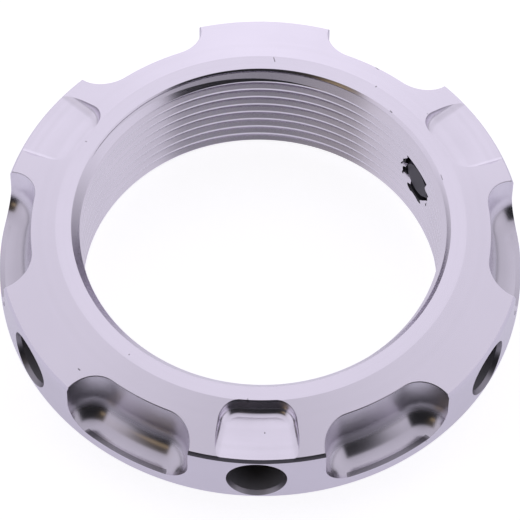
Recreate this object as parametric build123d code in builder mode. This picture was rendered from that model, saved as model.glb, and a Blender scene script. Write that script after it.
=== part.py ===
from build123d import *
import os
from math import asin, cos, degrees, radians, sin, tan

# Spring preload ring: a threaded aluminium ring that turns on a threaded body and pushes
# a coil spring along it. Notches and holes round the rim take a hook or pin spanner, and
# a set screw in one lobe locks the ring. Z is the thread axis, with the end of the spigot
# at z = 0 and the flat land round the mouth of the bore facing +Z.

# Driving sizes, in millimetres and degrees

# Thread of the bore, drawn as a plain bore at its crests
thread_diameter = 56.0
thread_pitch = 2.0
crest_relief = 0.0825  # how far the bored crests stand back from the basic minor radius
mouth_relief = 0.4  # how far the lead-in chamfers open past the thread, on the radius

# Flange, from the spring seat up to the flat land
outer_diameter = 79.0
flange_height = 13.3
land_width = 2.35  # from the mouth of the bore to the bevel
bevel_angle = 17.2
rim_break_width = 0.36
rim_break_height = 0.64

# Spigot that centres the end coil of the spring
spigot_wall = 2.9  # round the mouth of the bore
spigot_height = 5.4
spigot_lead_in = 0.8

# Notches for a hook spanner, milled by a bull-nosed cutter that swings round the thread axis
lobe_count = 6
lock_lobe_angle = 30.0
notch_half_angle = 15.2
notch_depth = 5.0
notch_web = 2.5  # flange left under the floor of a notch
notch_cutter_diameter = 10.0
notch_cutter_corner = 4.0

# Shallow pockets in the bevel of every second lobe
pocket_half_angle = 10.0
pocket_land_cut = 0.1  # how far the inner wall stands in from the land's edge
pocket_corner_radius = 2.25
pocket_floor_fillet = 1.5
pocket_floor_drop = 0.05  # floor below the top of the rim break

# Holes for a pin spanner, drilled towards the thread axis
spanner_hole_diameter = 8.4
spanner_hole_depth = 6.0
spanner_hole_break = 0.3
drill_point_angle = 118.0

# Locking screw, drawn with its tapped hole at the pitch diameter of their thread
lock_thread_diameter = 8.0
lock_thread_pitch = 1.25
lock_clearance = 0.05
lock_screw_length = 6.0
lock_tip_setback = 0.2  # tip behind the crests of the bore's thread
lock_tip_diameter = 5.5
lock_head_chamfer = 0.5
lock_socket_size = 4.0  # across the flats
lock_socket_depth = 3.0

# Sizes that follow from those above
bore_radius = thread_diameter / 2 - 0.54127 * thread_pitch + crest_relief
mouth_radius = thread_diameter / 2 + mouth_relief
lead_in = mouth_radius - bore_radius
land_radius = mouth_radius + land_width
spigot_radius = mouth_radius + spigot_wall
outer_radius = outer_diameter / 2
rim_top_radius = outer_radius - rim_break_width

total_height = spigot_height + flange_height
rim_top_z = total_height - (rim_top_radius - land_radius) * tan(radians(bevel_angle))
wall_top_z = rim_top_z - rim_break_height
wall_bottom_z = spigot_height + rim_break_height

lobe_angle = 360 / lobe_count
notch_floor_z = spigot_height + notch_web
notch_cutter_radius = notch_cutter_diameter / 2
notch_path_radius = outer_radius - notch_depth + notch_cutter_radius
notch_swing = notch_half_angle - degrees(asin(notch_cutter_radius / notch_path_radius))

pocket_inner_radius = land_radius - pocket_land_cut
pocket_floor_z = rim_top_z - pocket_floor_drop

spanner_hole_z = (wall_bottom_z + wall_top_z) / 2
spanner_hole_radius = spanner_hole_diameter / 2
drill_point = spanner_hole_radius / tan(radians(drill_point_angle / 2))

lock_pitch_radius = (lock_thread_diameter - 0.64952 * lock_thread_pitch) / 2
lock_hole_radius = lock_pitch_radius + lock_clearance
lock_screw_radius = lock_pitch_radius - lock_clearance
lock_tip_chamfer = lock_screw_radius - lock_tip_diameter / 2
lock_tip_place = bore_radius + lock_tip_setback

# Cutting tools run this far past the surfaces that they open
overrun = 2.0
above_ring = total_height + overrun


def axial_plane(angle):
    """Plane through the thread axis, with X out along a radius and Y up the axis."""
    return Plane.XZ.rotated((0, 0, angle))


def radial_plane(angle, radius):
    """Plane square to a radius at the height of the holes, facing out, with X up the axis."""
    out = Vector(cos(radians(angle)), sin(radians(angle)), 0)
    centre = out * radius + Vector(0, 0, spanner_hole_z)
    return Plane(origin=centre, x_dir=(0, 0, 1), z_dir=out)


# Bull-nosed notch cutter, standing at the middle of its path
with BuildPart(Plane((notch_path_radius, 0, notch_floor_z))) as notch_cutter:
    Cylinder(
        notch_cutter_radius,
        above_ring - notch_floor_z,
        align=(Align.CENTER, Align.CENTER, Align.MIN),
    )
    fillet(edges().group_by(Axis.Z)[0], notch_cutter_corner)

# Space that the cutter sweeps: its section swung along the path, and the cutter at each end
with BuildPart() as notch:
    with BuildSketch(axial_plane(-notch_swing)):
        with Locations((notch_path_radius, notch_floor_z)):
            Rectangle(
                notch_cutter_diameter,
                above_ring - notch_floor_z,
                align=(Align.CENTER, Align.MIN),
            )
        fillet(vertices().group_by(Axis.Y)[0], notch_cutter_corner)
    revolve(axis=Axis.Z, revolution_arc=2 * notch_swing)
    with PolarLocations(0, 2, -notch_swing, 2 * notch_swing, endpoint=True):
        add(notch_cutter.part)

# Shallow pocket with radial sides, open through the rim
with BuildPart() as pocket:
    with BuildSketch(Plane.XY.offset(pocket_floor_z)):
        with BuildLine():
            inner = CenterArc((0, 0), pocket_inner_radius, -pocket_half_angle, 2 * pocket_half_angle)
            outer = CenterArc((0, 0), outer_radius + overrun, -pocket_half_angle, 2 * pocket_half_angle)
            Line(inner @ 0, outer @ 0)
            Line(inner @ 1, outer @ 1)
        make_face()
    extrude(amount=above_ring - pocket_floor_z)
    fillet(edges().filter_by(Axis.Z).sort_by(SortBy.DISTANCE)[:2], pocket_corner_radius)
    fillet(edges().group_by(Axis.Z)[0].sort_by(SortBy.DISTANCE)[:-1], pocket_floor_fillet)

# Spanner drill and its edge-breaking cone, with the mouth of the hole at the origin
with BuildPart() as spanner_drill:
    with BuildSketch(Plane.XZ):
        with BuildLine():
            Polyline(
                (0, -spanner_hole_depth - drill_point),
                (spanner_hole_radius, -spanner_hole_depth),
                (spanner_hole_radius, -spanner_hole_break),
                (spanner_hole_radius + spanner_hole_break + overrun, overrun),
                (0, overrun),
                close=True,
            )
        make_face()
    revolve(axis=Axis.Z)

# Ring: one turned piece, then milled, drilled and tapped
with BuildPart() as preload_ring:
    with BuildSketch(Plane.XZ):
        with BuildLine():
            Polyline(
                (mouth_radius, 0),
                (spigot_radius - spigot_lead_in, 0),
                (spigot_radius, spigot_lead_in),
                (spigot_radius, spigot_height),
                (rim_top_radius, spigot_height),
                (outer_radius, wall_bottom_z),
                (outer_radius, wall_top_z),
                (rim_top_radius, rim_top_z),
                (land_radius, total_height),
                (mouth_radius, total_height),
                (bore_radius, total_height - lead_in),
                (bore_radius, lead_in),
                close=True,
            )
        make_face()
    revolve(axis=Axis.Z)
    with PolarLocations(0, lobe_count, lock_lobe_angle - lobe_angle / 2):
        add(notch.part, mode=Mode.SUBTRACT)
    with PolarLocations(0, lobe_count // 2, lock_lobe_angle):
        add(pocket.part, mode=Mode.SUBTRACT)
    for lobe in range(lobe_count):
        with Locations(radial_plane(lock_lobe_angle + lobe * lobe_angle, outer_radius)):
            add(spanner_drill.part, mode=Mode.SUBTRACT)
    with BuildSketch(radial_plane(lock_lobe_angle, 0)):
        Circle(lock_hole_radius)
    extrude(amount=outer_radius - spanner_hole_depth, mode=Mode.SUBTRACT)

# Locking screw: a black set screw with a flat point and a hexagon socket
with BuildPart(radial_plane(lock_lobe_angle, lock_tip_place)) as locking_screw:
    Cylinder(
        lock_screw_radius,
        lock_screw_length,
        align=(Align.CENTER, Align.CENTER, Align.MIN),
    )
    tip, head = faces().filter_by(GeomType.PLANE).sort_by(SortBy.DISTANCE)
    chamfer(tip.edges(), lock_tip_chamfer)
    chamfer(head.edges(), lock_head_chamfer)
    with BuildSketch(radial_plane(lock_lobe_angle, lock_tip_place + lock_screw_length)):
        RegularPolygon(lock_socket_size / 2, 6, major_radius=False)
    extrude(amount=-lock_socket_depth, mode=Mode.SUBTRACT)

os.makedirs("parts", exist_ok=True)

preload_ring.part.label = "preload_ring"
export_step(preload_ring.part, "parts/preload_ring.step")

locking_screw.part.label = "locking_screw"
export_step(locking_screw.part, "parts/locking_screw.step")
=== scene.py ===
"""Looks of the spring preload ring: its threaded, milled and drilled body and the locking screw.

Everything is in metres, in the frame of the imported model: Z is the thread axis and the
end of the spigot is at z = 0.
"""

import logging
import math
from dataclasses import dataclass
from enum import Enum
from functools import cache

import bpy
from mathutils import Matrix, Vector

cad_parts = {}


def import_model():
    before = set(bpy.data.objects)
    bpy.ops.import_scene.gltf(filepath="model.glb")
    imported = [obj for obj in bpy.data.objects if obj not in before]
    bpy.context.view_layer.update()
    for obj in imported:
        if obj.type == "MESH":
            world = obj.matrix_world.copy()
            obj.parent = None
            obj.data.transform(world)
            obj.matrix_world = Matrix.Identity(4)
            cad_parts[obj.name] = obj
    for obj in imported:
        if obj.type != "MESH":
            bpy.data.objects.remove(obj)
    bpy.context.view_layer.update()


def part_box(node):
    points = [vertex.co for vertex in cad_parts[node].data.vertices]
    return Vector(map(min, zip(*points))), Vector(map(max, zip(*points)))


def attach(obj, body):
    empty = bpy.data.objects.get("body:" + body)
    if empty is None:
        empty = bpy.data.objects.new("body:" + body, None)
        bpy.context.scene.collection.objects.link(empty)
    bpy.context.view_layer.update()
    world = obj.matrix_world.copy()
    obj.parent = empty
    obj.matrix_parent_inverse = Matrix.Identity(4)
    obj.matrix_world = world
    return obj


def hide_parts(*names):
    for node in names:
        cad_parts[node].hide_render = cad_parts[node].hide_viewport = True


MM = 0.001
CREASE = 14  # degrees; the land meets the bevel at 17.2
LOG = logging.getLogger("preload_ring")

Loop = list[Vector]
Colour = tuple[float, float, float]
Piece = bpy.types.Object
Socket = bpy.types.NodeSocket


class Surface(Enum):
    """How a face of the ring was made, which picks its finish."""

    TURNED = 0
    MILLED = 1
    THREADED = 2
    DRILLED = 3
    SWEPT = 4


# Mesh building


def polar(radius: float, angle: float, height: float) -> Vector:
    """Point at a radius, an angle in radians and a height."""
    return Vector((radius * math.cos(angle), radius * math.sin(angle), height))


def spread(start: float, end: float, count: int) -> list[float]:
    """Evenly spaced values from start to end, both included, two or more in all."""
    return [start + (end - start) * i / (count - 1) for i in range(count)]


def full_turn(count: int) -> list[float]:
    """Evenly spaced angles round a full turn, in radians."""
    return spread(0, 2 * math.pi, count + 1)[:-1]


def outwards(azimuth: float, height: float) -> Matrix:
    """Turns Z to a level axis that points out from the centre of the ring."""
    turn = Matrix.Rotation(azimuth, 4, "Z") @ Matrix.Rotation(math.pi / 2, 4, "Y")
    return Matrix.Translation((0, 0, height)) @ turn


def show(name: str, data: bpy.types.ID) -> Piece:
    """Makes an object of a mesh or a camera, and links it to the scene."""
    made = bpy.data.objects.new(name, data)
    bpy.context.scene.collection.objects.link(made)
    return made


def loft(name: str, loops: list[Loop], surface: Surface, ring: bool = False) -> Piece:
    """Makes a closed solid through loops that all have the same number of points.

    Args:
        name: name of the object.
        loops: closed outlines, each without its first point repeated.
        surface: how the faces were made.
        ring: True joins the last loop to the first, and False caps both ends.

    Returns:
        A new mesh object, linked to the scene.
    """
    size = len(loops[0])
    points = [point for loop in loops for point in loop]
    faces = []
    for row in range(len(loops) if ring else len(loops) - 1):
        here, there = row * size, (row + 1) % len(loops) * size
        for k in range(size):
            after = (k + 1) % size
            faces.append((here + k, here + after, there + after, there + k))
    if not ring:
        faces.append(tuple(reversed(range(size))))
        faces.append(tuple(range(len(points) - size, len(points))))
    mesh = bpy.data.meshes.new(name)
    mesh.from_pydata(points, [], faces)
    for kind in Surface:
        mesh.materials.append(finish_slot(kind))
    mesh.polygons.foreach_set("material_index", [surface.value] * len(faces))
    return face_outwards(show(name, mesh))


def finish_slot(kind: Surface) -> bpy.types.Material:
    """Material that holds a slot until the ring is dressed."""
    name = f"slot_{kind.name.lower()}"
    return bpy.data.materials.get(name) or bpy.data.materials.new(name)


def face_outwards(solid: Piece) -> Piece:
    """Flips a closed solid's faces if they point inwards.

    Args:
        solid: closed mesh object.

    Returns:
        The same object.
    """
    mesh = solid.data
    mesh.calc_loop_triangles()
    volume = 0.0
    for triangle in mesh.loop_triangles:
        a, b, c = (mesh.vertices[i].co for i in triangle.vertices)
        volume += a.dot(b.cross(c))
    if volume < 0:
        mesh.flip_normals()
    return solid


def join(solids: list[Piece]) -> Piece:
    """Joins solids that stay apart from each other.

    Args:
        solids: mesh objects.

    Returns:
        The first object, which takes in the others.
    """
    with bpy.context.temp_override(
        active_object=solids[0], selected_editable_objects=solids, selected_objects=solids
    ):
        bpy.ops.object.join()
    return solids[0]


def settle(piece: Piece) -> Piece:
    """Applies a piece's modifiers for good.

    Args:
        piece: mesh object with modifiers.

    Returns:
        The same object, with its new mesh.
    """
    seen = piece.evaluated_get(bpy.context.evaluated_depsgraph_get())
    made = bpy.data.meshes.new_from_object(seen)
    piece.modifiers.clear()
    old = piece.data
    piece.data = made
    bpy.data.meshes.remove(old)
    return piece


def cut(body: Piece, cutter: Piece) -> Piece:
    """Takes a cutter out of a body for good, and deletes the cutter.

    Args:
        body: closed solid that is cut.
        cutter: closed solid that is taken away.

    Returns:
        The body, with its new mesh.
    """
    step = body.modifiers.new("cut", "BOOLEAN")
    step.operation = "DIFFERENCE"
    step.solver = "EXACT"
    step.object = cutter
    settle(body)
    bpy.data.objects.remove(cutter)
    return body


def smooth(piece: Piece, crease: float) -> Piece:
    """Shades rounds smooth and keeps flat faces flat.

    Args:
        piece: mesh object.
        crease: edges that turn by more than this, in degrees, stay sharp.

    Returns:
        The same object.
    """
    piece.data.shade_smooth()
    piece.data.set_sharp_from_angle(angle=math.radians(crease))
    weighting = piece.modifiers.new("weighted_normals", "WEIGHTED_NORMAL")
    weighting.mode = "FACE_AREA"
    weighting.keep_sharp = True
    return settle(piece)


def rounded(corner: Vector, before: Vector, after: Vector, radius: float, steps: int) -> Loop:
    """Rounds one corner of an outline.

    Args:
        corner: the sharp corner.
        before: a point on the side that comes in.
        after: a point on the side that goes out.
        radius: radius of the round.
        steps: number of straight steps along it.

    Returns:
        Points along the round, in order.
    """
    back, on = (before - corner).normalized(), (after - corner).normalized()
    half = back.angle(on) / 2
    centre = corner + (back + on).normalized() * (radius / math.sin(half))
    first = corner + back * (radius / math.tan(half)) - centre
    last = corner + on * (radius / math.tan(half)) - centre
    sweep = first.angle(last)
    return [
        centre
        + (first * math.sin((1 - t) * sweep) + last * math.sin(t * sweep)) / math.sin(sweep)
        for t in spread(0, 1, steps + 1)
    ]


@dataclass
class PreloadRing:
    """The ring: a turned blank, then milled notches and pockets, drilled holes and a thread."""

    outer_radius: float
    height: float

    # Facets round the ring, and where the first stands, as a share of one
    columns: int = 360
    body_phase: float = 0.3
    thread_phase: float = 0.7

    # Turned form
    flange_height: float = 13.3 * MM
    crest_radius: float = 27.0 * MM
    mouth_radius: float = 28.4 * MM
    mouth_round: float = 0.05 * MM
    land_radius: float = 30.75 * MM
    bevel: float = math.radians(17.2)
    break_width: float = 0.36 * MM
    break_height: float = 0.64 * MM
    spigot_radius: float = 31.3 * MM
    spigot_lead_in: float = 0.8 * MM
    corner_round: float = 0.08 * MM
    round_steps: int = 4

    # Thread of the bore
    pitch: float = 2.0 * MM
    root_radius: float = 28.16 * MM
    root_flat: float = 0.15 * MM
    flank_angle: float = math.radians(30)
    crest_height: float = 15.24 * MM
    crest_azimuth: float = math.radians(90)
    # Round of a root, in root flats, and reach of a groove, in pitches
    root_bulge: float = 0.3
    root_narrowing: float = 0.5
    groove_run_in: float = 0.35
    groove_reach: float = 0.49

    # Notches
    lobes: int = 6
    lock_azimuth: float = math.radians(30)
    notch_half_angle: float = math.radians(15.2)
    notch_depth: float = 5.0 * MM
    notch_web: float = 2.5 * MM
    notch_cutter: float = 5.0 * MM
    notch_corner: float = 4.0 * MM
    edge_break: float = 0.1 * MM
    notch_arc_steps: int = 14
    notch_end_steps: int = 40
    notch_corner_steps: int = 16

    # Pockets
    pocket_half_angle: float = math.radians(10)
    pocket_inner: float = 30.65 * MM
    pocket_corner: float = 3.2 * MM
    pocket_fillet: float = 1.35 * MM
    pocket_draft: float = math.radians(5)
    pocket_drop: float = 0.05 * MM
    pocket_corner_steps: int = 12
    pocket_arc_steps: int = 16
    pocket_fillet_steps: int = 10

    # Spanner holes
    hole_radius: float = 4.2 * MM
    hole_depth: float = 6.0 * MM
    hole_break: float = 0.3 * MM
    hole_break_depth: float = 0.75 * MM
    drill_point: float = math.radians(59)
    drill_tip: float = 0.02 * MM
    hole_steps: int = 72

    # Tapped hole of the locking screw
    lock_pitch: float = 1.25 * MM
    lock_crest: float = 3.82 * MM
    lock_root: float = 4.15 * MM
    lock_root_flat: float = 1.25 * MM / 16
    lock_overlap: float = 0.1 * MM
    lock_steps: int = 64
    lock_columns: int = 70

    # How far the cutters run past the surfaces that they open
    overrun: float = 1.5 * MM

    def __post_init__(self) -> None:
        """Works out the heights and angles that follow from the sizes."""
        self.seat_z = self.height - self.flange_height
        self.rim_top_radius = self.outer_radius - self.break_width
        self.rim_top_z = self.surface_height(self.rim_top_radius)
        self.wall_top_z = self.rim_top_z - self.break_height
        self.wall_bottom_z = self.seat_z + self.break_height
        self.hole_z = (self.wall_top_z + self.wall_bottom_z) / 2
        self.path_radius = self.outer_radius - self.notch_depth + self.notch_cutter
        self.swing = self.notch_half_angle - math.asin(self.notch_cutter / self.path_radius)
        self.notch_floor = self.seat_z + self.notch_web
        self.pocket_floor = self.rim_top_z - self.pocket_drop

    def surface_height(self, radius: float) -> float:
        """Height of the land or the bevel at a radius."""
        return self.height - max(0.0, radius - self.land_radius) * math.tan(self.bevel)

    def section(self) -> Loop:
        """Draws the section of the turned blank.

        Returns:
            A closed outline, with X as the radius.
        """
        lead_in = self.mouth_radius - self.crest_radius
        sharp = [
            (self.mouth_radius, 0, self.corner_round),
            (self.spigot_radius - self.spigot_lead_in, 0, self.corner_round),
            (self.spigot_radius, self.spigot_lead_in, self.corner_round),
            (self.spigot_radius, self.seat_z, 0),
            (self.rim_top_radius, self.seat_z, self.corner_round),
            (self.outer_radius, self.wall_bottom_z, self.corner_round),
            (self.outer_radius, self.wall_top_z, self.corner_round),
            (self.rim_top_radius, self.rim_top_z, self.corner_round),
            (self.land_radius, self.height, 0),
            (self.mouth_radius, self.height, self.mouth_round),
            (self.crest_radius, self.height - lead_in, 0),
            (self.crest_radius, lead_in, 0),
        ]
        corners = [Vector((radius, 0, height)) for radius, height, _ in sharp]
        outline = []
        for k, corner in enumerate(corners):
            if sharp[k][2] == 0:
                outline.append(corner)
                continue
            before, after = corners[k - 1], corners[(k + 1) % len(corners)]
            outline += rounded(corner, before, after, sharp[k][2], self.round_steps)
        return outline

    def blank(self) -> Piece:
        """Turns the blank, with a plain bore.

        Returns:
            A new mesh object.
        """
        outline = self.section()
        loops = []
        for column in range(self.columns):
            turn = Matrix.Rotation(2 * math.pi * (column + self.body_phase) / self.columns, 3, "Z")
            loops.append([turn @ point for point in outline])
        return loft("preload_ring_body", loops, Surface.TURNED, ring=True)

    def swept_outline(self, reach: float) -> list[tuple[float, float]]:
        """Plan outline of the notch cutter's sweep at one height, about azimuth 0.

        Args:
            reach: radius of the cutter at that height.

        Returns:
            Radius and angle of each point.
        """
        steps = self.notch_arc_steps + 1
        inner = [(self.path_radius - reach, a) for a in spread(-self.swing, self.swing, steps)[1:-1]]
        outer = [(self.path_radius + reach, a) for a in spread(self.swing, -self.swing, steps)[1:-1]]
        ends = []
        for side in (1, -1):
            centre = polar(self.path_radius, side * self.swing, 0)
            start = side * self.swing + math.pi
            turns = spread(start, start - side * math.pi, self.notch_end_steps + 1)
            points = [centre + polar(reach, turn, 0) for turn in turns]
            ends.append([(math.hypot(p.x, p.y), math.atan2(p.y, p.x)) for p in points])
        return inner + ends[0] + outer + ends[1][::-1]

    def notch(self, azimuth: float) -> Piece:
        """Makes the bull-nosed cutter's sweep for one notch, flared where it breaks the edge.

        Args:
            azimuth: middle of the notch, in radians.

        Returns:
            A closed solid to cut with.
        """
        loops = []
        flat = self.notch_cutter - self.notch_corner
        for turn in spread(0, math.pi / 2, self.notch_corner_steps + 1):
            reach = flat + self.notch_corner * math.sin(turn)
            height = self.notch_floor + self.notch_corner * (1 - math.cos(turn))
            loops.append([polar(r, a + azimuth, height) for r, a in self.swept_outline(reach)])
        for grow in (0.0, self.edge_break + self.overrun):
            lift = grow - self.edge_break
            outline = self.swept_outline(self.notch_cutter + grow)
            loops.append([polar(r, a + azimuth, self.flare_height(r - grow) + lift) for r, a in outline])
        return loft("notch", loops, Surface.SWEPT)

    def flare_height(self, radius: float) -> float:
        """Height of the bevel at a radius, held level outside the rim."""
        return self.surface_height(min(radius, self.outer_radius))

    def pocket_outline(self, inset: float) -> list[tuple[float, float]]:
        """Plan outline of a pocket at one height, about azimuth 0.

        Args:
            inset: how far the sides stand in from the pocket's mouth.

        Returns:
            X and Y of each point.
        """
        centre_radius = self.pocket_inner + self.pocket_corner
        centre_angle = self.pocket_half_angle - math.asin(self.pocket_corner / centre_radius)
        centre = polar(centre_radius, centre_angle, 0)
        normal = self.pocket_half_angle + math.pi / 2
        outside = polar(self.outer_radius + self.overrun, self.pocket_half_angle, 0)
        half = [outside - polar(inset, normal, 0)]
        for turn in spread(normal, centre_angle + math.pi, self.pocket_corner_steps + 1):
            half.append(centre + polar(self.pocket_corner - inset, turn, 0))
        for angle in spread(centre_angle, 0, self.pocket_arc_steps + 1)[1:]:
            half.append(polar(self.pocket_inner + inset, angle, 0))
        return [(p.x, p.y) for p in half] + [(p.x, -p.y) for p in reversed(half[:-1])]

    def pocket(self, azimuth: float) -> Piece:
        """Makes the cutter for one pocket, with a filleted floor and leaning sides.

        Args:
            azimuth: middle of the pocket, in radians.

        Returns:
            A closed solid to cut with.
        """
        turn_to = Matrix.Rotation(azimuth, 3, "Z")
        rise = self.height - self.pocket_floor
        slope = math.tan(self.pocket_draft)
        levels = []
        for turn in spread(0, math.pi / 2 - self.pocket_draft, self.pocket_fillet_steps + 1):
            height = self.pocket_fillet * (1 - math.cos(turn))
            levels.append((self.pocket_fillet * (1 - math.sin(turn)), height))
        shift = levels[-1][0] - (rise - levels[-1][1]) * slope
        levels = [(inset - shift, height) for inset, height in levels]
        levels.append((-self.overrun * slope, rise + self.overrun))
        loops = []
        for inset, height in levels:
            outline = self.pocket_outline(inset)
            loops.append([turn_to @ Vector((x, y, self.pocket_floor + height)) for x, y in outline])
        return loft("pocket", loops, Surface.MILLED)

    def drill(self, azimuth: float) -> Piece:
        """Makes the drill for one spanner hole, with a cone that breaks the edge evenly.

        Args:
            azimuth: direction of the hole, in radians.

        Returns:
            A closed solid to cut with.
        """
        turn_to = Matrix.Rotation(azimuth, 3, "Z")
        angles = full_turn(self.hole_steps)
        bottom = self.hole_depth + self.hole_radius / math.tan(self.drill_point)
        loops = []
        for radius, depth in ((self.drill_tip, bottom), (self.hole_radius, self.hole_depth)):
            out = self.outer_radius - depth
            loops.append([(out, radius * math.cos(a), radius * math.sin(a)) for a in angles])
        slope = self.hole_break_depth / self.hole_break
        mouth = self.hole_radius + self.hole_break
        for grow in (0.0, self.hole_break + self.overrun / slope):
            radius = self.hole_radius + grow
            loop = []
            for angle in angles:
                across = radius * math.cos(angle)
                rim = math.sqrt(self.outer_radius**2 - min(abs(across), mouth) ** 2)
                out = rim - self.hole_break_depth + grow * slope
                loop.append((out, across, radius * math.sin(angle)))
            loops.append(loop)
        placed = [[turn_to @ Vector((x, y, self.hole_z + z)) for x, y, z in loop] for loop in loops]
        return loft("drill", placed, Surface.DRILLED)

    def coil(
        self, crest: float, root: float, pitch: float, flat: float, start: float, end: float, columns: int
    ) -> list[Loop]:
        """Draws a thread's groove about Z.

        Args:
            crest: radius of the thread's crests.
            root: radius of its roots.
            pitch: axial distance between turns.
            flat: half the width of the root.
            start: height where the groove's middle starts, at azimuth 0.
            end: height that it passes.
            columns: number of loops in one turn.

        Returns:
            Closed loops along the groove.
        """
        slope = math.tan(self.flank_angle)
        under = crest - self.groove_run_in * pitch
        reach = min(flat + (root - under) * slope, self.groove_reach * pitch)
        half = [
            (root - (reach - flat) / slope, reach),
            (root, flat),
            (root + self.root_bulge * flat, self.root_narrowing * flat),
        ]
        profile = half + [(radius, -height) for radius, height in reversed(half)]
        loops = []
        total = math.ceil((end - start) / pitch * columns)
        for step in range(total + 1):
            angle = 2 * math.pi * (step + self.thread_phase) / columns
            middle = start + pitch * angle / (2 * math.pi)
            loops.append([polar(radius, angle, middle + height) for radius, height in profile])
        return loops

    def thread(self) -> Piece:
        """Makes the right-hand groove of the bore's thread.

        Returns:
            A closed solid to cut with.
        """
        groove = self.crest_height + self.pitch / 2
        groove -= self.pitch * self.crest_azimuth / (2 * math.pi)
        start = groove - self.pitch * math.ceil((groove + self.pitch) / self.pitch)
        sizes = (self.crest_radius, self.root_radius, self.pitch, self.root_flat)
        loops = self.coil(*sizes, start, self.height + self.pitch, self.columns)
        return loft("thread", loops, Surface.THREADED)

    def lock_hole(self) -> Piece:
        """Makes the plain hole for the locking screw, from the bore to the spanner hole.

        Returns:
            A closed solid to cut with.
        """
        bottom = self.outer_radius - self.hole_depth
        ends = (self.crest_radius - self.overrun, bottom + self.lock_overlap)
        angles = full_turn(self.lock_steps)
        loops = [[polar(self.lock_crest, angle, end) for angle in angles] for end in ends]
        made = loft("lock_hole", loops, Surface.DRILLED)
        made.data.transform(outwards(self.lock_azimuth, self.hole_z))
        return made

    def lock_thread(self) -> Piece:
        """Makes the groove of the locking screw's thread.

        Returns:
            A closed solid to cut with.
        """
        start = self.crest_radius - 2 * self.lock_pitch
        end = self.outer_radius - self.hole_depth - self.lock_pitch
        sizes = (self.lock_crest, self.lock_root, self.lock_pitch, self.lock_root_flat)
        loops = self.coil(*sizes, start, end, self.lock_columns)
        made = loft("lock_thread", loops, Surface.DRILLED)
        made.data.transform(outwards(self.lock_azimuth, self.hole_z))
        return made

    def build(self) -> Piece:
        """Machines the ring from its blank.

        Returns:
            The finished mesh object.
        """
        step = 2 * math.pi / self.lobes
        lobes = [self.lock_azimuth + step * k for k in range(self.lobes)]
        body = self.blank()
        cut(body, self.lock_hole())
        cut(body, self.lock_thread())
        tools = [self.notch(lobe - step / 2) for lobe in lobes]
        tools += [self.pocket(lobe) for lobe in lobes[::2]]
        tools += [self.drill(lobe) for lobe in lobes]
        cut(body, join(tools))
        cut(body, self.thread())
        return smooth(body, CREASE)


@dataclass
class LockingScrew:
    """Black set screw with a flat point, chamfered ends and a hexagon socket."""

    azimuth: float
    height: float
    tip: float = 27.35 * MM
    length: float = 6.0 * MM
    radius: float = 3.54 * MM
    tip_radius: float = 2.75 * MM
    head_chamfer: float = 0.5 * MM
    socket: float = 2.0 * MM
    socket_depth: float = 3.0 * MM
    overrun: float = 1.0 * MM
    steps: int = 72

    def build(self) -> Piece:
        """Turns the screw and cuts its socket.

        Returns:
            The finished mesh object.
        """
        head = self.tip + self.length
        levels = [
            (self.tip_radius, 0),
            (self.radius, self.radius - self.tip_radius),
            (self.radius, self.length - self.head_chamfer),
            (self.radius - self.head_chamfer, self.length),
        ]
        angles = full_turn(self.steps)
        loops = [[polar(r, a, self.tip + z) for a in angles] for r, z in levels]
        body = loft("locking_screw_body", loops, Surface.TURNED)
        corner = self.socket / math.cos(math.pi / 6)
        ends = (head - self.socket_depth, head + self.overrun)
        hexagon = [k * math.pi / 3 for k in range(6)]
        loops = [[polar(corner, angle, end) for angle in hexagon] for end in ends]
        cut(body, loft("socket", loops, Surface.MILLED))
        body.data.transform(outwards(self.azimuth, self.height))
        return smooth(body, CREASE)


# Shading

# Sockets of the Mix node when it mixes colours
MIX_SHARE, MIX_FIRST, MIX_SECOND, MIX_RESULT = 0, 6, 7, 2


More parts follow.
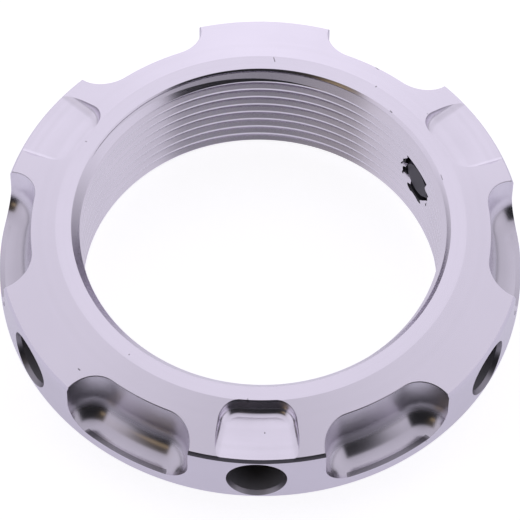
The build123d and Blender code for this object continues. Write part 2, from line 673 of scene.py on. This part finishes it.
class Nodes:
    """Short way to fill a node tree."""

    def __init__(self, tree: bpy.types.NodeTree) -> None:
        """Keeps the tree that is filled."""
        self.tree = tree

    def add(self, kind: str, inputs: dict | None = None, **settings: object) -> bpy.types.Node:
        """Adds one node.

        Args:
            kind: type name of the node, such as ShaderNodeMath.
            inputs: value or linked output for each input, by name or number.
            settings: other properties of the node.

        Returns:
            The new node.
        """
        node = self.tree.nodes.new(kind)
        for name, value in settings.items():
            setattr(node, name, value)
        self.feed(node, inputs or {})
        return node

    def feed(self, node: bpy.types.Node, inputs: dict) -> None:
        """Sets or links inputs of a node.

        Args:
            node: node that is fed.
            inputs: value or linked output for each input, by name or number.
        """
        for key, value in inputs.items():
            if isinstance(value, Socket):
                self.tree.links.new(value, node.inputs[key])
            else:
                node.inputs[key].default_value = value

    def math(self, operation: str, *values: object) -> Socket:
        """Adds a math node and gives its output."""
        return self.add("ShaderNodeMath", dict(enumerate(values)), operation=operation).outputs[0]

    def vector(self, operation: str, *values: object) -> Socket:
        """Adds a vector math node and gives its output, a vector or a number."""
        node = self.add("ShaderNodeVectorMath", dict(enumerate(values)), operation=operation)
        return node.outputs["Value" if operation in ("LENGTH", "DOT_PRODUCT") else "Vector"]

    def split(self, vector: Socket) -> bpy.types.NodeOutputs:
        """Adds the X, Y and Z of a vector."""
        return self.add("ShaderNodeSeparateXYZ", {0: vector}).outputs

    def place(self, group: bpy.types.NodeTree, inputs: dict) -> bpy.types.NodeOutputs:
        """Places a node group with its values, and gives its outputs."""
        return self.add("ShaderNodeGroup", inputs, node_tree=group).outputs

    def scale(self, colour: Colour, level: object) -> Socket:
        """Adds a colour times a level, and gives its output."""
        inputs = {0: colour, "Scale": level}
        return self.add("ShaderNodeVectorMath", inputs, operation="SCALE").outputs["Vector"]

    def fade(self, value: object, start: float, end: float) -> Socket:
        """Adds a smooth step.

        Args:
            value: number or output that is read.
            start: where the step is 0.
            end: where it is 1, above or below start.

        Returns:
            The step's output.
        """
        rising = start < end
        inputs = {
            "Value": value,
            "From Min": min(start, end),
            "From Max": max(start, end),
            "To Min": 0.0 if rising else 1.0,
            "To Max": 1.0 if rising else 0.0,
        }
        node = self.add("ShaderNodeMapRange", inputs, interpolation_type="SMOOTHSTEP")
        return node.outputs["Result"]

    def blend(self, share: object, first: object, second: object) -> Socket:
        """Adds a mix of two colours, from the first at share 0 to the second at share 1."""
        inputs = {MIX_SHARE: share, MIX_FIRST: first, MIX_SECOND: second}
        return self.add("ShaderNodeMix", inputs, data_type="RGBA").outputs[MIX_RESULT]


def new_material(name: str) -> tuple[bpy.types.Material, Nodes, bpy.types.Node]:
    """Starts a material.

    Args:
        name: name of the material.

    Returns:
        The material, its nodes and its shader.
    """
    material = bpy.data.materials.new(name)
    material.use_nodes = True
    return material, Nodes(material.node_tree), material.node_tree.nodes["Principled BSDF"]


def new_group(name: str, inputs: dict[str, str], outputs: tuple[str, ...]) -> Nodes:
    """Starts a shader node group.

    Args:
        name: name of the group.
        inputs: type of each input, Float or Vector, by its name.
        outputs: names of the outputs, all numbers.

    Returns:
        The group's empty tree.
    """
    tree = bpy.data.node_groups.new(name, "ShaderNodeTree")
    for label, kind in inputs.items():
        tree.interface.new_socket(label, in_out="INPUT", socket_type=f"NodeSocket{kind}")
    for label in outputs:
        tree.interface.new_socket(label, in_out="OUTPUT", socket_type="NodeSocketFloat")
    return Nodes(tree)


@cache
def tool_marks() -> bpy.types.NodeTree:
    """Group for the fine lines that a cutting tool leaves, along one coordinate.

    Returns:
        The group, made at the first call.
    """
    streak_scale = 0.17  # about six lines to a streak
    inputs = {"Across": "Float", "Spacing": "Float"}
    nodes = new_group("tool_marks", inputs, ("Height", "Streaks"))
    given = nodes.add("NodeGroupInput").outputs
    place = nodes.math("DIVIDE", given["Across"], given["Spacing"])
    inputs = {"W": place, "Scale": 1.0, "Detail": 2.0}
    height = nodes.add("ShaderNodeTexNoise", inputs, noise_dimensions="1D").outputs[0]
    inputs = {"W": place, "Scale": streak_scale, "Detail": 1.0}
    streaks = nodes.add("ShaderNodeTexNoise", inputs, noise_dimensions="1D").outputs[0]
    nodes.add("NodeGroupOutput", {"Height": height, "Streaks": streaks})
    return nodes.tree


@cache
def handling() -> bpy.types.NodeTree:
    """Group for the traces of handling: soft clouds and pinholes.

    Returns:
        The group, made at the first call.
    """
    clouds_per_metre, cells_per_metre = 130.0, 560.0
    pinhole_edge, pinhole_core = 0.09, 0.04  # shares of a cell
    inputs = {"Place": "Vector", "Speck Share": "Float"}
    nodes = new_group("handling", inputs, ("Cloud", "Specks"))
    given = nodes.add("NodeGroupInput").outputs
    inputs = {"Vector": given["Place"], "Scale": clouds_per_metre, "Detail": 3.0}
    cloud = nodes.add("ShaderNodeTexNoise", inputs).outputs[0]
    inputs = {"Vector": given["Place"], "Scale": cells_per_metre}
    cells = nodes.add("ShaderNodeTexVoronoi", inputs).outputs
    chance = nodes.add("ShaderNodeSeparateColor", {0: cells["Color"]}).outputs["Red"]
    near = nodes.fade(cells["Distance"], pinhole_edge, pinhole_core)
    specks = nodes.math("MULTIPLY", near, nodes.math("LESS_THAN", chance, given["Speck Share"]))
    nodes.add("NodeGroupOutput", {"Cloud": cloud, "Specks": specks})
    return nodes.tree


@dataclass(frozen=True)
class Nick:
    """One small dent that handling left on the upper side of the ring."""

    radius: float
    azimuth: float
    length: float
    turn: float = 0.0
    width: float = 0.09 * MM
    core: float = 0.5  # share of the width that is fully dark

    def mask(self, nodes: Nodes, flat: Socket) -> Socket:
        """Adds the mask of the dent.

        Args:
            nodes: tree that is filled.
            flat: place on the ring, without its height.

        Returns:
            1 in the dent and 0 away from it.
        """
        azimuth = math.radians(self.azimuth)
        middle = polar(self.radius, azimuth, 0)
        along = polar(1, azimuth + math.radians(self.turn), 0)
        across = polar(1, azimuth + math.radians(self.turn + 90), 0)
        offset = nodes.vector("SUBTRACT", flat, tuple(middle))
        far = nodes.math("ABSOLUTE", nodes.vector("DOT_PRODUCT", offset, tuple(along)))
        past = nodes.math("MAXIMUM", nodes.math("SUBTRACT", far, self.length / 2), 0.0)
        aside = nodes.vector("DOT_PRODUCT", offset, tuple(across))
        square = nodes.math("MULTIPLY_ADD", aside, aside, nodes.math("MULTIPLY", past, past))
        apart = nodes.math("SQRT", square)
        return nodes.fade(apart, self.width, self.width * self.core)


NICKS = (
    Nick(30.15 * MM, 87.0, 0.8 * MM, turn=17),
    Nick(34.3 * MM, 59.56, 0.5 * MM, turn=75),
    Nick(30.69 * MM, 55.94, 0.12 * MM, width=0.13 * MM),
    Nick(28.5 * MM, 46.9, 0.35 * MM, turn=85, width=0.12 * MM),
    Nick(30.29 * MM, 151.8, 0.15 * MM),
    Nick(30.57 * MM, -92.8, 0.15 * MM),
    Nick(34.62 * MM, -88.2, 0.1 * MM, width=0.12 * MM),
    Nick(36.25 * MM, -136.5, 0.3 * MM, turn=90, width=0.12 * MM),
    Nick(30.03 * MM, -129.2, 0.12 * MM),
    Nick(28.52 * MM, 18.3, 0.9 * MM, turn=88, width=0.07 * MM),
)


@cache
def nicks() -> bpy.types.NodeTree:
    """Group for the dents of handling on the upper side.

    Returns:
        The group, made at the first call.
    """
    nodes = new_group("nicks", {"Place": "Vector"}, ("Dents",))
    given = nodes.add("NodeGroupInput").outputs
    flat = nodes.vector("MULTIPLY", given["Place"], (1, 1, 0))
    dents = None
    for nick in NICKS:
        mask = nick.mask(nodes, flat)
        dents = mask if dents is None else nodes.math("MAXIMUM", dents, mask)
    nodes.add("NodeGroupOutput", {"Dents": dents})
    return nodes.tree


@dataclass(frozen=True)
class CutAluminium:
    """Bare aluminium as one kind of tool leaves it."""

    surface: Surface
    mark_depth: float
    mark_spacing: float = 0.25 * MM
    roughness: float = 0.17
    roughness_range: float = 0.1
    colour: Colour = (0.86, 0.825, 0.9)
    # Dark colour of real pinholes and dents, also used for painted shade and dark reflections
    soot_and_shade: Colour = (0.05, 0.05, 0.055)

    # Clouds, the streaks' share of them, and the mean of both, which leaves the colour as it is
    cloudiness: float = 0.12
    streak_share: float = 0.5
    mean_shade: float = 0.75

    # Pinholes and dents: the share of cells with a pinhole, and how dark both are
    speck_share: float = 0.008
    speck_cover: float = 0.8
    dent_cover: float = 0.7

    # Walls, told by how upright their normal is
    wall_from: float = 0.75
    wall_to: float = 0.2
    wall_dulling: float = 0.0
    # Painted light: walls get a lighter colour than the floors of the same metal
    painted_wall_light: Colour | None = None

    # Painted shade in a dark line at the top of a wall, measured down from the bevel
    land_z: float = 18.7 * MM
    rim_shade: float = 0.0
    rim_depth: float = 0.3 * MM

    # Painted dark reflection in a strip along the foot of a notch: below a height, outside a radius,
    # fading to the back
    painted_foot_reflection: float = 0.0
    foot_reflection_top: float = 7.94 * MM
    foot_reflection_top_soft: float = 0.02 * MM
    foot_reflection_from: float = 38.75 * MM
    foot_reflection_soft: float = 0.1 * MM
    foot_reflection_back: float = 5.0 * MM
    foot_reflection_front: float = -25.0 * MM

    # Painted shade in a drilled hole, darker deeper in, by the distance from the thread axis
    hole_shade_from: float = 38.85 * MM
    hole_shade_to: float = 38.6 * MM
    deep_shade: Colour = (0.03, 0.03, 0.035)
    deep_from: float = 35.0 * MM
    deep_to: float = 33.0 * MM

    def darken_with_soot_and_shade(self, nodes: Nodes, tone: Socket, mask: Socket, cover: float) -> Socket:
        """Darkens a colour by its cover where the mask is 1, for real pinholes and dents and for painted
        shade and dark reflections.
        """
        return nodes.blend(nodes.math("MULTIPLY", mask, cover), tone, (*self.soot_and_shade, 1))

    def wall_top(self, nodes: Nodes, radius: Socket, height: Socket) -> Socket:
        """Adds the mask of the painted shade just under the bevel.

        Args:
            nodes: tree that is filled.
            radius: distance from the thread axis.
            height: height above the end of the spigot.

        Returns:
            1 at the bevel and 0 from the line's depth down.
        """
        past = nodes.math("SUBTRACT", radius, PreloadRing.land_radius)
        fall = nodes.math("MULTIPLY", nodes.math("MAXIMUM", past, 0.0), math.tan(PreloadRing.bevel))
        below = nodes.math("SUBTRACT", self.land_z, nodes.math("ADD", fall, height))
        return nodes.fade(below, self.rim_depth, 0.0)

    def make(self) -> bpy.types.Material:
        """Builds the material.

        Returns:
            A new material.
        """
        material, nodes, shader = new_material(f"{self.surface.name.lower()}_aluminium")
        place = nodes.add("ShaderNodeTexCoord").outputs["Object"]
        split = nodes.split(place)
        radius = nodes.vector("LENGTH", nodes.vector("MULTIPLY", place, (1, 1, 0)))
        across = nodes.math("ADD", radius, split["Z"])
        marks = nodes.place(tool_marks(), {"Across": across, "Spacing": self.mark_spacing})
        wear = nodes.place(handling(), {"Place": place, "Speck Share": self.speck_share})
        facing = nodes.add("ShaderNodeNewGeometry").outputs["Normal"]
        upright = nodes.math("ABSOLUTE", nodes.split(facing)["Z"])
        wall = nodes.fade(upright, self.wall_from, self.wall_to)

        dull = nodes.math("MULTIPLY", wear["Cloud"], self.cloudiness)
        streaked = nodes.math("MULTIPLY", marks["Streaks"], self.cloudiness * self.streak_share)
        whole = 1.0 + self.mean_shade * self.cloudiness
        shade = nodes.math("SUBTRACT", whole, nodes.math("ADD", dull, streaked))
        tone = self.darken_with_soot_and_shade(nodes, nodes.scale(self.colour, shade), wear["Specks"], self.speck_cover)
        metallic = 1
        if self.surface in (Surface.TURNED, Surface.MILLED):
            dents = nodes.place(nicks(), {"Place": place})["Dents"]
            tone = self.darken_with_soot_and_shade(nodes, tone, dents, self.dent_cover)
        # Painted shade down a drilled hole, darker and less metallic deeper in
        if self.surface is Surface.DRILLED:
            depth = nodes.fade(radius, self.hole_shade_from, self.hole_shade_to)
            deeper = nodes.fade(radius, self.deep_from, self.deep_to)
            hole_shade_colour = nodes.blend(deeper, (*self.soot_and_shade, 1), (*self.deep_shade, 1))
            tone = nodes.blend(depth, tone, hole_shade_colour)
            metallic = nodes.math("SUBTRACT", 1.0, depth)
        # Painted light: walls lighter than the floors of the same metal
        if self.painted_wall_light:
            tone = nodes.blend(wall, tone, (*self.painted_wall_light, 1))
        # Painted shade along the top of a wall
        if self.rim_shade:
            rim = nodes.math("MULTIPLY", self.wall_top(nodes, radius, split["Z"]), wall)
            tone = self.darken_with_soot_and_shade(nodes, tone, rim, self.rim_shade)
        # Painted dark reflection along the foot of a notch, strongest in front
        if self.painted_foot_reflection:
            low = nodes.fade(split["Z"], self.foot_reflection_top + self.foot_reflection_top_soft, self.foot_reflection_top)
            out = nodes.fade(radius, self.foot_reflection_from - self.foot_reflection_soft, self.foot_reflection_from)
            ahead = nodes.fade(split["Y"], self.foot_reflection_back, self.foot_reflection_front)
            foot_reflection_mask = nodes.math("MULTIPLY", low, nodes.math("MULTIPLY", out, ahead))
            tone = self.darken_with_soot_and_shade(nodes, tone, foot_reflection_mask, self.painted_foot_reflection)

        rough = nodes.math("MULTIPLY_ADD", wear["Cloud"], self.roughness_range, self.roughness)
        rough = nodes.math("MULTIPLY_ADD", wall, self.wall_dulling, rough)
        inputs = {"Height": marks["Height"], "Strength": 1.0, "Distance": self.mark_depth}
        bump = nodes.add("ShaderNodeBump", inputs).outputs["Normal"]
        inputs = {"Base Color": tone, "Metallic": metallic, "Roughness": rough, "Normal": bump}
        nodes.feed(shader, inputs)
        return material


@dataclass(frozen=True)
class BlackOxide:
    """Blackened steel of the locking screw."""

    colour: Colour = (0.012, 0.01, 0.02)
    worn: Colour = (0.045, 0.038, 0.065)
    metallic: float = 0.6
    roughness: float = 0.35
    specular: float = 0.2

    def make(self) -> bpy.types.Material:
        """Builds the material.

        Returns:
            A new material.
        """
        material, nodes, shader = new_material("black_oxide")
        place = nodes.add("ShaderNodeTexCoord").outputs["Object"]
        wear = nodes.place(handling(), {"Place": place})
        inputs = {
            "Base Color": nodes.blend(wear["Cloud"], (*self.colour, 1), (*self.worn, 1)),
            "Metallic": self.metallic,
            "Roughness": self.roughness,
            "Specular IOR Level": self.specular,
        }
        nodes.feed(shader, inputs)
        return material


FINISHES = (
    CutAluminium(
        surface=Surface.TURNED,
        mark_depth=0.0008 * MM,
        mark_spacing=0.12 * MM,
        roughness=0.15,
        roughness_range=0.08,
        cloudiness=0.04,
    ),
    CutAluminium(
        surface=Surface.MILLED,
        mark_depth=0.002 * MM,
        rim_shade=0.55,
        rim_depth=0.8 * MM,
    ),
    CutAluminium(
        surface=Surface.SWEPT,
        mark_depth=0.003 * MM,
        # Darker colour of the notch floors, lighter on the walls: painted shade and painted light on one
        # metal
        colour=(0.64, 0.615, 0.67),
        wall_dulling=0.12,
        painted_wall_light=(0.93, 0.895, 0.97),
        rim_shade=0.5,
        # Painted dark reflection along the foot of the notches
        painted_foot_reflection=0.6,
    ),
    CutAluminium(
        surface=Surface.THREADED,
        mark_depth=0.001 * MM,
        mark_spacing=0.1 * MM,
        roughness=0.16,
        roughness_range=0.08,
        colour=(0.81, 0.778, 0.845),
        cloudiness=0.08,
        speck_share=0.002,
    ),
    CutAluminium(
        surface=Surface.DRILLED,
        mark_depth=0.001 * MM,
        mark_spacing=0.15 * MM,
        roughness=0.33,
        # Dark colour and lighter soot colour: painted shade inside the holes
        colour=(0.36, 0.346, 0.375),
        soot_and_shade=(0.24, 0.236, 0.25),
        cloudiness=0.2,
    ),
)


# Studio


@dataclass(frozen=True)
class Lamp:
    """One soft round light in the dark part of the studio."""

    towards: tuple[float, float, float]
    reach: float
    core: float
    colour: Colour

    def over(self, nodes: Nodes, towards: Socket, under: Socket) -> Socket:
        """Adds the lamp to the light so far.

        Args:
            nodes: world tree that is filled.
            towards: direction that is looked in.
            under: colour of the light without this lamp.

        Returns:
            The colour with this lamp.
        """
        middle = Vector(self.towards).normalized()
        apart = nodes.vector("LENGTH", nodes.vector("SUBTRACT", towards, tuple(middle)))
        share = nodes.fade(apart, self.reach, self.core)
        return nodes.vector("MULTIPLY_ADD", share, self.colour, under)


@dataclass
class Studio:
    """Camera, floor, and a light tent whose open front shows the dark room behind it."""

    # Floor: its paint, its glow to the camera, and the painted reflection that metal shows of it
    floor_half: float = 1.5
    floor_colour: Colour = (0.4, 0.39, 0.42)
    floor_glow: float = 0.85
    painted_reflection: Colour = (0.42, 0.41, 0.47)
    # Brighter painted reflection inside the bore, by radius
    painted_reflection_inside: Colour = (0.53, 0.52, 0.57)
    inside_from: float = 0.036
    inside_to: float = 0.03
    # Painted dark reflection in front of the ring, darker outwards, and where it ends aside
    front_from: float = 0.048
    front_to: float = 0.06
    front_least: float = 1.0 * MM
    aside_from: float = 0.35
    aside_to: float = 2.0
    front_share: float = 0.12

    # Tent, by how far a direction points to the back: place on the ramp and level
    tint: Colour = (1.01, 0.97, 1.09)
    tent: tuple[tuple[float, float], ...] = ((-0.6, 0.3), (-0.1, 0.57), (0.54, 0.81), (0.92, 0.97))
    # What the sides gain on the middle, and how fast that turns to a loss towards the back
    side_gain: float = 0.141
    side_turn: float = 0.53
    # Skirt of the tent, darker down to the floor
    skirt: float = 0.55
    skirt_top: float = 0.3
    # Open front: half its width straight ahead, how fast it narrows to the sides, and its top
    opening_half: float = 0.351
    opening_spread: float = 0.575
    opening_side_soft: float = 0.07
    opening_back: float = -0.05
    opening_back_soft: float = 0.15
    opening_top: float = 0.9
    opening_round: float = 0.25
    opening_top_soft: float = 0.04
    room: Colour = (0.02, 0.02, 0.022)
    # Warm halo high up in the room, and the lamp in it
    lamps: tuple[Lamp, ...] = (
        Lamp(towards=(-0.5, -0.45, 0.74), reach=0.5, core=0.05, colour=(0.055, 0.04, 0.02)),
        Lamp(towards=(-0.543, -0.679, 0.492), reach=0.2, core=0.06, colour=(0.34, 0.25, 0.13)),
    )

    # Camera, with lengths in units of the ring's radius and the focal length in pixels
    unit: float = 39.5 * MM
    centre_z: float = 15.4 * MM
    focal: float = 4209.31
    pixels: int = 520
    distance: float = 16.0
    elevation: float = 1.00114733
    roll: float = -0.0179635
    shift_x: float = -0.0016
    shift_y: float = -0.0917004
    sensor: float = 36.0
    clip_near: float = 0.01
    clip_far: float = 10.0

    def camera(self) -> None:
        """Camera at the photograph's viewing angle."""
        forward = Vector((0, math.cos(self.elevation), -math.sin(self.elevation)))
        right = Vector((1, 0, 0))
        up = Vector((0, math.sin(self.elevation), math.cos(self.elevation)))
        place = right * self.shift_x + up * self.shift_y - forward * self.distance
        place = place * self.unit + Vector((0, 0, self.centre_z))
        across = right * math.cos(self.roll) - up * math.sin(self.roll)
        upright = right * math.sin(self.roll) + up * math.cos(self.roll)
        data = bpy.data.cameras.new("camera")
        data.sensor_width = self.sensor
        data.lens = self.focal / self.pixels * self.sensor
        data.clip_start, data.clip_end = self.clip_near, self.clip_far
        made = show("camera", data)
        turn = Matrix((across, upright, -forward)).transposed()
        made.matrix_world = Matrix.Translation(place) @ turn.to_4x4()
        bpy.context.scene.camera = made

    def floor(self) -> None:
        """Pale floor, white to the camera, that keeps the shadow of the ring; to metal it glows with a
        painted reflection.
        """
        half = self.floor_half
        mesh = bpy.data.meshes.new("floor")
        corners = [(-half, -half, 0), (half, -half, 0), (half, half, 0), (-half, half, 0)]
        mesh.from_pydata(corners, [], [(0, 1, 2, 3)])
        material, nodes, shader = new_material("floor")
        seen = nodes.add("ShaderNodeLightPath").outputs
        direct = nodes.math("MAXIMUM", seen["Is Camera Ray"], seen["Is Transmission Ray"])
        place = nodes.add("ShaderNodeTexCoord").outputs["Object"]
        split = nodes.split(place)
        out = nodes.vector("LENGTH", place)
        ahead = nodes.math("MAXIMUM", nodes.math("MULTIPLY", split["Y"], -1.0), self.front_least)
        aside = nodes.math("DIVIDE", nodes.math("ABSOLUTE", split["X"]), ahead)
        middle = nodes.fade(aside, self.aside_to, self.aside_from)
        front = nodes.math("MULTIPLY", nodes.fade(out, self.front_from, self.front_to), middle)
        # Painted reflection, seen only by metal: darker in front of the ring and brighter inside the bore
        dark = tuple(value * self.front_share for value in self.painted_reflection)
        painted_reflection = nodes.blend(front, (*self.painted_reflection, 1), (*dark, 1))
        inside = nodes.fade(out, self.inside_from, self.inside_to)
        painted_reflection = nodes.blend(inside, painted_reflection, (*self.painted_reflection_inside, 1))
        painted_reflection = nodes.blend(seen["Is Glossy Ray"], (0, 0, 0, 1), painted_reflection)
        dark = tuple(value * self.front_share for value in self.floor_colour)
        paint = nodes.blend(front, (*self.floor_colour, 1), (*dark, 1))
        inputs = {
            "Base Color": nodes.blend(seen["Is Glossy Ray"], (*self.floor_colour, 1), paint),
            "Roughness": 1,
            "Specular IOR Level": 0,
            "Emission Color": nodes.blend(direct, painted_reflection, (self.floor_glow,) * 3 + (1,)),
            "Emission Strength": 1,
        }
        nodes.feed(shader, inputs)
        mesh.materials.append(material)
        show("floor", mesh)

    def light(self) -> None:
        """World light: a soft tent, darker towards the camera."""
        world = bpy.data.worlds.new("studio")
        bpy.context.scene.world = world
        world.use_nodes = True
        nodes = Nodes(world.node_tree)
        shade = world.node_tree.nodes["Background"]
        towards = nodes.add("ShaderNodeTexCoord").outputs["Generated"]
        split = nodes.split(towards)
        level = self.by_depth(nodes, split["Y"])
        aside = nodes.math("ABSOLUTE", split["X"])
        gain = nodes.math("MULTIPLY_ADD", split["Y"], -self.side_turn, self.side_gain)
        level = nodes.math("MULTIPLY_ADD", aside, gain, level)
        low = nodes.fade(split["Z"], 0.0, self.skirt_top)
        skirt = nodes.math("MULTIPLY_ADD", low, 1 - self.skirt, self.skirt)
        light = nodes.scale(self.tint, nodes.math("MULTIPLY", level, skirt))
        edge = nodes.math("MULTIPLY_ADD", split["Y"], -self.opening_spread, self.opening_half)
        inside = nodes.math("SUBTRACT", edge, aside)
        side = nodes.fade(inside, -self.opening_side_soft, self.opening_side_soft)
        round_top = nodes.math("MULTIPLY", nodes.math("MULTIPLY", aside, aside), self.opening_round)
        rise, soft = nodes.math("ADD", split["Z"], round_top), self.opening_top_soft
        top = nodes.fade(rise, self.opening_top + soft, self.opening_top - soft)
        ahead = nodes.fade(split["Y"], self.opening_back, self.opening_back - self.opening_back_soft)
        opening = nodes.math("MULTIPLY", nodes.math("MULTIPLY", side, top), ahead)
        light = nodes.blend(opening, light, (*self.room, 1))
        for lamp in self.lamps:
            light = lamp.over(nodes, towards, light)
        camera = nodes.add("ShaderNodeLightPath").outputs["Is Camera Ray"]
        seen = nodes.blend(camera, light, (1, 1, 1, 1))
        nodes.feed(shade, {"Color": seen})

    def by_depth(self, nodes: Nodes, depth: Socket) -> Socket:
        """Level of the tent from its ramp.

        Args:
            nodes: world tree that is filled.
            depth: how far the direction points to the back, from -1 to 1.

        Returns:
            The level.
        """
        curve = nodes.add("ShaderNodeFloatCurve", {"Value": depth})
        mapping = curve.mapping
        mapping.clip_min_x, mapping.clip_max_x = -1, 1
        mapping.use_clip = True
        points = mapping.curves[0].points
        for k, (place, level) in enumerate(self.tent):
            point = points[k] if k < len(points) else points.new(place, level)
            point.location = (place, level)
        mapping.update()
        return curve.outputs["Value"]


def main() -> None:
    """Builds the object, its stage and its light, and reports each piece."""
    logging.basicConfig(level=logging.INFO)
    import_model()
    studio = Studio()
    studio.camera()
    _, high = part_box("preload_ring")
    ring = PreloadRing(outer_radius=high.y, height=high.z)
    body = ring.build()
    LOG.info("%s: %d faces", body.name, len(body.data.polygons))
    for finish in FINISHES:
        body.data.materials[finish.surface.value] = finish.make()
    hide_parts("preload_ring")
    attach(body, "root")
    screw = LockingScrew(azimuth=ring.lock_azimuth, height=ring.hole_z).build()
    black = BlackOxide().make()
    for slot in range(len(screw.data.materials)):
        screw.data.materials[slot] = black
    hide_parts("locking_screw")
    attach(screw, "root")
    LOG.info("%s: %d faces", screw.name, len(screw.data.polygons))
    studio.floor()
    studio.light()
    bpy.context.scene.view_settings.view_transform = "Standard"


if __name__ == "__main__":
    main()
